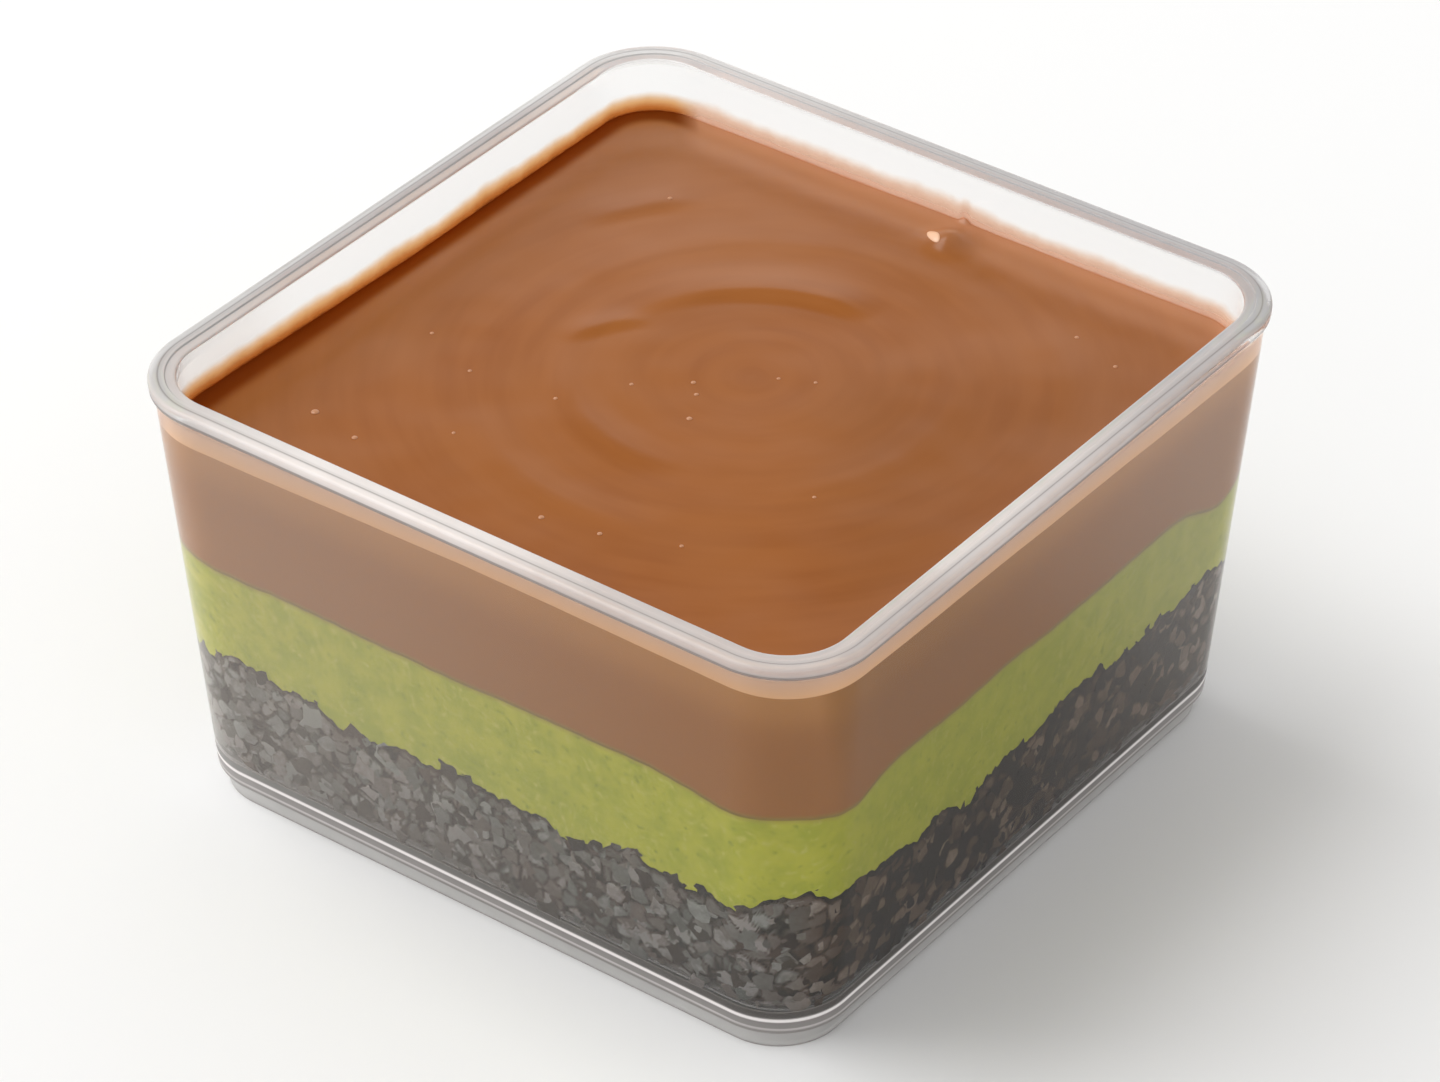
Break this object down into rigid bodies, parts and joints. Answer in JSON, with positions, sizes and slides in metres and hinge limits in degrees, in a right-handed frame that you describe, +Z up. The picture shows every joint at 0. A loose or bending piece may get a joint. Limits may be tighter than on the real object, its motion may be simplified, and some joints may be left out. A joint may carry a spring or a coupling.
{
  "type": "cup of pistachio pudding",
  "caption": "Clear square dessert cup with layers of dark cookie crumbs, pistachio pudding and chocolate pudding with a spoon swirl on top.",
  "frame": {"origin": "middle of the foot, on the surface that the cup stands on", "axes": "+Z up, X and Y along the cup's straight sides"},
  "size_m": [0.085, 0.085, 0.0498],
  "materials": {
    "clear_plastic": "clear moulded polystyrene, polished",
    "cookie_crumbs": "dry dark cookie crumbs, matt",
    "pistachio_pudding": "soft yellow-green pudding, faintly pored",
    "chocolate_pudding": "smooth warm brown pudding, satin"
  },
  "bodies": {
    "root": {"cup": "clear_plastic", "cookie_crumbs": "cookie_crumbs", "pistachio_pudding": "pistachio_pudding", "chocolate_pudding": "chocolate_pudding"}
  },
  "joints": []
}
